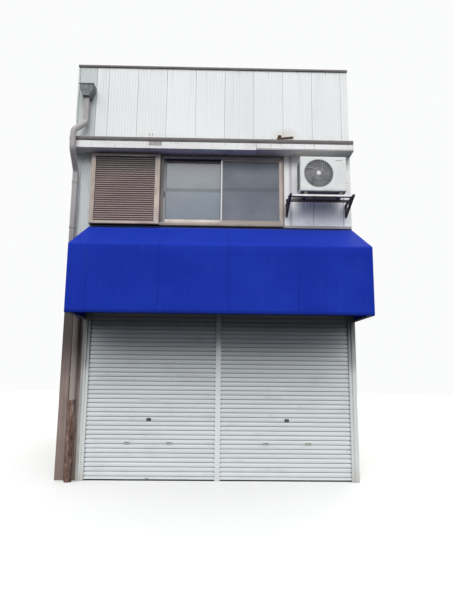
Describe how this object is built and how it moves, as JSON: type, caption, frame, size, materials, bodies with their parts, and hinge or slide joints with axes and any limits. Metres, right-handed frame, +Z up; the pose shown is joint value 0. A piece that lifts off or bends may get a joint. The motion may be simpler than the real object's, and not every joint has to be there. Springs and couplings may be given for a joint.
{
  "type": "row shop building with awning and roller shutters",
  "caption": "Narrow row shop with upper storey: blue awning over closed roller shutters, metal-sided parapet, sliding window with storm-shutter box, air conditioner and downpipe.",
  "frame": {"origin": "on the ground, on the centre line of the shop front, half-way between the street face and the rear face", "axes": "+X to the right along the street front seen from the street, +Y from the street to the rear, +Z up"},
  "size_m": [4.24, 8.5903, 6.26],
  "materials": {
    "mortar": "rough trowelled mortar",
    "concrete": "plain concrete",
    "white_siding": "white ribbed siding, lightly stained",
    "grey_siding": "pale grey ribbed siding, weathered",
    "brown_metal": "brown painted sheet",
    "white_board": "white painted board",
    "roof_metal": "dull brown roof sheet",
    "galvanised_sheet": "galvanised sheet",
    "bronze_aluminium": "light bronze anodised",
    "frosted_glass": "frosted glass",
    "screen_net": "dark insect net",
    "louvre_paint": "dull reddish brown slats",
    "shutter_steel": "pale grey slats",
    "rail_steel": "white painted steel",
    "awning_cloth": "blue coated cloth",
    "frame_steel": "galvanised tube",
    "casing_paint": "ivory paint, a little dirty",
    "guard_plastic": "dark grey moulded",
    "dark_steel": "dark old paint",
    "rusty_steel": "rusty",
    "pipe_plastic": "weathered grey brown"
  },
  "bodies": {
    "root": {"left_party_wall": "mortar", "right_party_wall": "mortar", "left_pier": "mortar", "front_wall_band": "mortar", "front_wall_left": "mortar", "front_wall_right": "mortar", "parapet_wall": "mortar", "rear_wall_lower": "mortar", "rear_wall_band": "mortar", "rear_wall_upper_left": "mortar", "rear_wall_upper_right": "mortar", "rear_wall_head": "mortar", "floor_slab": "concrete", "parapet_siding": "white_siding", "wall_siding_right": "white_siding", "parapet_siding_left": "grey_siding", "pier_siding": "grey_siding", "parapet_coping": "brown_metal", "eave_flashing": "brown_metal", "upper_floor": "white_board", "eave_box": "white_board", "eave_fascia_left": "white_board", "eave_fascia_right": "white_board", "awning_flashing": "white_board", "roof_front": "roof_metal", "roof_rear": "roof_metal", "ridge_cap": "roof_metal", "valley_gutter": "galvanised_sheet", "shutter_box": "galvanised_sheet", "window_frame": "bronze_aluminium", "window_sash_left": "bronze_aluminium", "window_sash_right": "bronze_aluminium", "screen_frame": "bronze_aluminium", "storm_shutter_box": "bronze_aluminium", "rear_window_frame": "bronze_aluminium", "rear_window_sash_left": "bronze_aluminium", "rear_window_sash_right": "bronze_aluminium", "rear_door": "bronze_aluminium", "window_glass_left": "frosted_glass", "window_glass_right": "frosted_glass", "rear_window_glass_left": "frosted_glass", "rear_window_glass_right": "frosted_glass", "screen_net": "screen_net", "storm_shutter_louvres": "louvre_paint", "shutter_left": "shutter_steel", "shutter_right": "shutter_steel", "guide_rail_left": "rail_steel", "guide_rail_right": "rail_steel", "centre_post": "rail_steel", "awning_cover": "awning_cloth", "awning_frame": "frame_steel", "ac_casing": "casing_paint", "ac_fan_guard": "guard_plastic", "ac_bracket": "dark_steel", "downpipe_lower": "rusty_steel", "hopper_head": "pipe_plastic", "downpipe_upper": "pipe_plastic", "rear_gutter": "pipe_plastic", "rear_downpipe": "pipe_plastic"}
  },
  "joints": []
}
